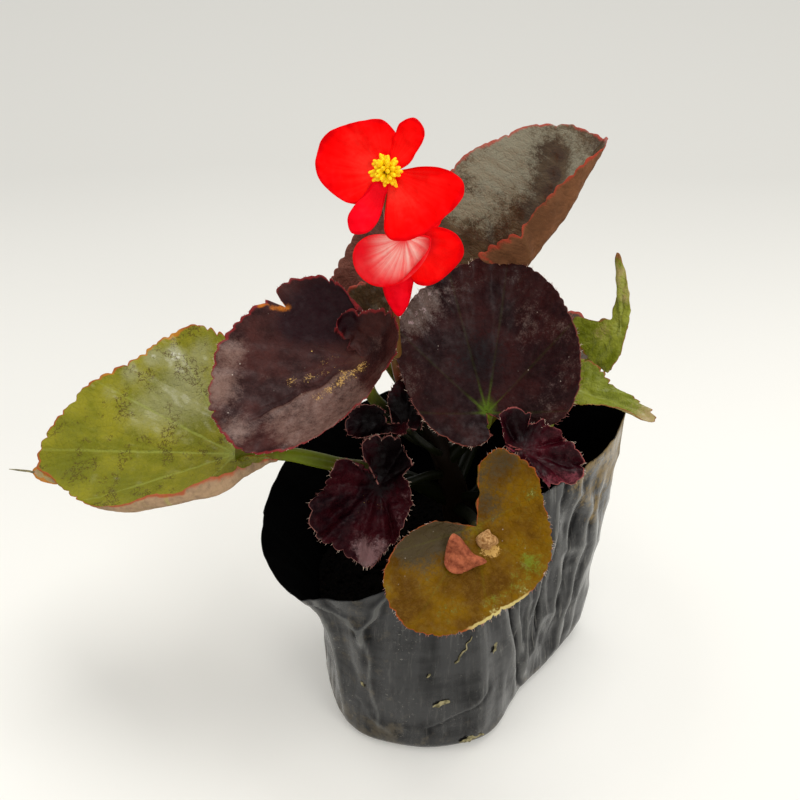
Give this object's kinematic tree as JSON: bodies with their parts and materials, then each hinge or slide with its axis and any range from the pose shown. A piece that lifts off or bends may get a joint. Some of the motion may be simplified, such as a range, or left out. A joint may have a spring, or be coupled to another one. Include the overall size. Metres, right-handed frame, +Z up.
{
  "type": "potted begonia",
  "caption": "Young begonia with round dark leaves and red blooms, growing from potting mix in a soft black film nursery bag.",
  "frame": {"origin": "middle of the bag's flat base, on the surface that it stands on", "axes": "+Z up, +X to the right of the front view, +Y away from the viewer"},
  "size_m": [0.1655, 0.104, 0.1812],
  "materials": {
    "black_film": "satin",
    "potting_mix": "matte",
    "green_stem": "satin",
    "dark_leaf": "satin",
    "green_leaf": "satin",
    "olive_leaf": "satin",
    "bronze_leaf": "satin",
    "red_petal": "matte",
    "yellow_anther": "matte",
    "dry_scrap": "matte"
  },
  "bodies": {
    "root": {"grow_bag": "black_film", "soil": "potting_mix", "stem": "green_stem", "leaf_left_dark": "dark_leaf", "leaf_centre_dark": "dark_leaf", "leaf_left_green": "green_leaf", "leaf_back_tall": "bronze_leaf", "leaf_right_upright": "green_leaf", "leaf_right_low": "green_leaf", "leaf_front_olive": "olive_leaf", "leaf_front_ruffled": "dark_leaf", "leaf_right_young": "dark_leaf", "leaf_crown_left": "dark_leaf", "leaf_crown_right": "dark_leaf", "leaf_back_left": "bronze_leaf", "leaf_rear_low": "olive_leaf", "leaf_rear_right": "bronze_leaf", "bloom_upper_petals": "red_petal", "bloom_upper_stamens": "yellow_anther", "bloom_lower_petals": "red_petal", "bloom_lower_stamens": "yellow_anther", "dry_petal": "dry_scrap"}
  },
  "joints": []
}
